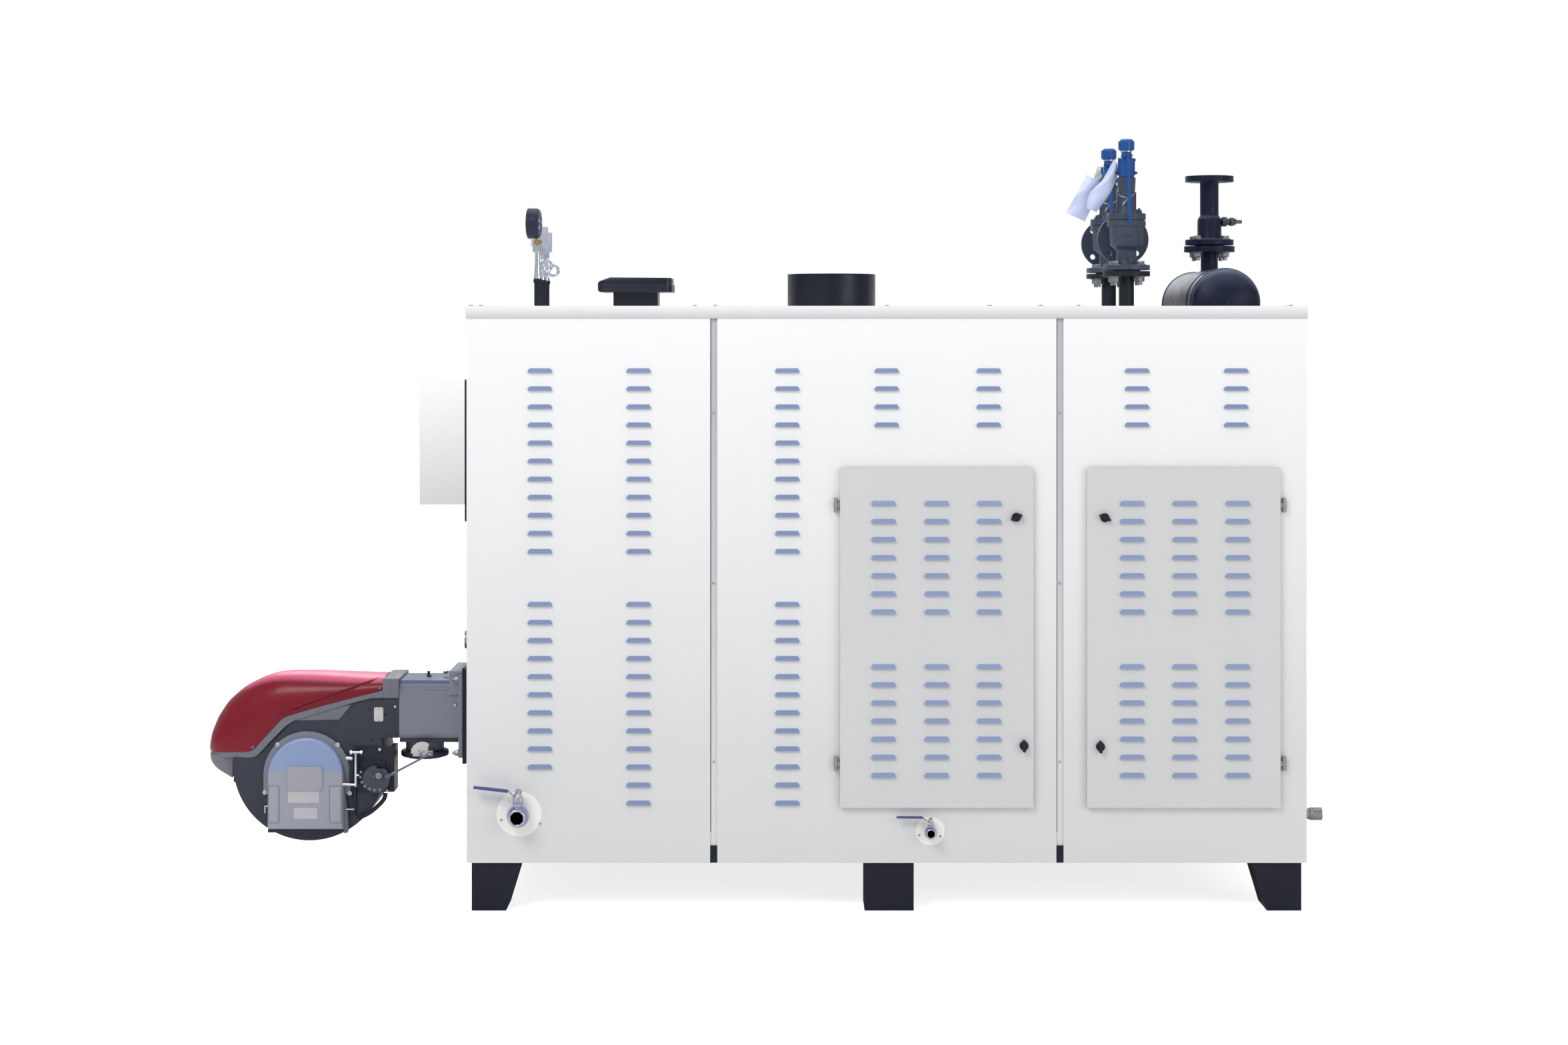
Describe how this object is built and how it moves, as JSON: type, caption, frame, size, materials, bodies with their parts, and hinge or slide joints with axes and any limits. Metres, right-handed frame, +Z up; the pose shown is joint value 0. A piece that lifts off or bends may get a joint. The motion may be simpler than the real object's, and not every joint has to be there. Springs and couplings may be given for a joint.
{
  "type": "industrial steam boiler",
  "caption": "Packaged steam boiler in a louvred sheet casing on feet, with a side-mounted gas burner, hinged service doors, a steam drum, safety valves and gauges on the roof.",
  "frame": {"origin": "on the floor, below the centre of the machine's bounding box", "axes": "+Z up, +X along the casing away from the burner, the front with the doors faces -Y"},
  "size_m": [3.562, 1.327, 2.378],
  "materials": {
    "casing_white": "smooth satin powder coat",
    "door_grey": "smooth satin powder coat",
    "frame_black": "semi-gloss black enamel",
    "lagging": "stucco lagging sheet",
    "strip_steel": "brushed",
    "drum_blue_black": "glossy blue-black enamel",
    "valve_green": "painted casting, dark grey-green",
    "blue_paint": "blue enamel",
    "burner_red": "glossy moulded",
    "burner_dark": "dark grey-blue paint",
    "burner_alloy": "die cast, satin",
    "intake_silver": "satin",
    "link_zinc": "zinc plated",
    "gauge_black": "black case",
    "switch_grey": "pale grey",
    "latch_black": "black moulded",
    "valve_steel": "nickel plated",
    "lever_blue": "vinyl sleeved"
  },
  "bodies": {
    "casing": {"base_frame": "frame_black", "feet": "frame_black", "boiler_body": "lagging", "front_panel_left": "casing_white", "front_panel_middle": "casing_white", "front_panel_middle_head": "casing_white", "front_panel_middle_sill": "casing_white", "front_panel_middle_jamb": "casing_white", "front_panel_right_jamb": "casing_white", "front_panel_right_head": "casing_white", "front_panel_right_sill": "casing_white", "front_panel_right_end": "casing_white", "back_panel_left": "casing_white", "back_panel_middle": "casing_white", "back_panel_right": "casing_white", "seam_strips": "strip_steel", "end_panel_burner": "casing_white", "end_panel_far": "casing_white", "roof_panel": "casing_white", "hinge_knuckles": "strip_steel", "burner_neck": "frame_black", "burner_manifold": "burner_alloy", "burner_housing": "burner_dark", "burner_rim": "burner_alloy", "burner_cover": "burner_red", "burner_intake": "intake_silver", "burner_motor": "burner_dark", "burner_servo": "burner_dark", "control_box": "casing_white", "control_box_bracket": "frame_black", "sight_port": "link_zinc", "feed_stub": "link_zinc", "flue_collar": "frame_black", "hatch_neck": "frame_black", "hatch_cover": "frame_black", "gauge_risers": "frame_black", "pressure_gauge": "gauge_black", "pressure_switches": "switch_grey", "steam_drum": "drum_blue_black", "steam_neck": "drum_blue_black", "steam_valve": "drum_blue_black", "safety_risers": "frame_black", "safety_valve_front": "valve_green", "safety_valve_rear": "valve_green", "safety_caps": "blue_paint", "drain_valve": "valve_steel", "blowdown_valve": "valve_steel"},
    "door_left": {"door_left": "door_grey"},
    "door_right": {"door_right": "door_grey"},
    "latch_left_upper": {"latch_left_upper": "latch_black"},
    "latch_left_lower": {"latch_left_lower": "latch_black"},
    "latch_right_upper": {"latch_right_upper": "latch_black"},
    "latch_right_lower": {"latch_right_lower": "latch_black"},
    "drain_lever": {"drain_lever": "lever_blue"},
    "blowdown_lever": {"blowdown_lever": "lever_blue"},
    "lift_lever_front": {"lift_lever_front": "blue_paint"},
    "lift_lever_rear": {"lift_lever_rear": "blue_paint"},
    "burner_cam": {"burner_cam": "link_zinc"},
    "burner_link_rod": {"burner_link_rod": "link_zinc"},
    "gas_lever": {"gas_lever": "link_zinc"}
  },
  "joints": [
    {"name": "door_left_hinge", "type": "hinge", "parent": "casing", "child": "door_left", "pos_m": [0.2525, -0.5995, 0.835], "axis": [0, 0, -1], "range_deg": [0, 110]},
    {"name": "door_right_hinge", "type": "hinge", "parent": "casing", "child": "door_right", "pos_m": [1.6155, -0.5995, 0.835], "axis": [0, 0, 1], "range_deg": [0, 110]},
    {"name": "drain_lever_turn", "type": "hinge", "parent": "casing", "child": "drain_lever", "pos_m": [-0.711, -0.626, 0.365], "axis": [0, 0, 1], "range_deg": [0, 90]},
    {"name": "blowdown_lever_turn", "type": "hinge", "parent": "casing", "child": "blowdown_lever", "pos_m": [0.54, -0.613, 0.288], "axis": [0, 0, 1], "range_deg": [0, 90]},
    {"name": "lift_lever_front_pivot", "type": "hinge", "parent": "casing", "child": "lift_lever_front", "pos_m": [1.187, -0.231, 2.324], "axis": [-1, 0, 0], "range_deg": [0, 20]},
    {"name": "lift_lever_rear_pivot", "type": "hinge", "parent": "casing", "child": "lift_lever_rear", "pos_m": [1.187, 0.229, 2.324], "axis": [-1, 0, 0], "range_deg": [0, 20]},
    {"name": "burner_cam_turn", "type": "hinge", "parent": "casing", "child": "burner_cam", "pos_m": [-1.211, -0.101, 0.333], "axis": [0, 1, 0], "range_deg": [0, 90]},
    {"name": "burner_link_pivot", "type": "hinge", "parent": "burner_cam", "child": "burner_link_rod", "pos_m": [-1.18, -0.118, 0.333], "axis": [0, 1, 0], "range_deg": [-90, 0]},
    {"name": "gas_lever_turn", "type": "hinge", "parent": "casing", "child": "gas_lever", "pos_m": [-1.076, -0.101, 0.404], "axis": [0, 1, 0], "range_deg": [0, 90]},
    {"name": "latch_left_upper_turn", "type": "hinge", "parent": "door_left", "child": "latch_left_upper", "pos_m": [0.8003, -0.607, 1.2021], "axis": [0, 1, 0], "range_deg": [0, 90]},
    {"name": "latch_left_lower_turn", "type": "hinge", "parent": "door_left", "child": "latch_left_lower", "pos_m": [0.8234, -0.607, 0.5082], "axis": [0, 1, 0], "range_deg": [0, 90]},
    {"name": "latch_right_upper_turn", "type": "hinge", "parent": "door_right", "child": "latch_right_upper", "pos_m": [1.0689, -0.607, 1.2007], "axis": [0, 1, 0], "range_deg": [0, 90]},
    {"name": "latch_right_lower_turn", "type": "hinge", "parent": "door_right", "child": "latch_right_lower", "pos_m": [1.0554, -0.607, 0.5055], "axis": [0, 1, 0], "range_deg": [0, 90]}
  ],
  "couplings": [
    {"joint": "burner_link_pivot", "follows": "burner_cam_turn", "ratio": -1},
    {"joint": "gas_lever_turn", "follows": "burner_cam_turn", "ratio": 1}
  ]
}
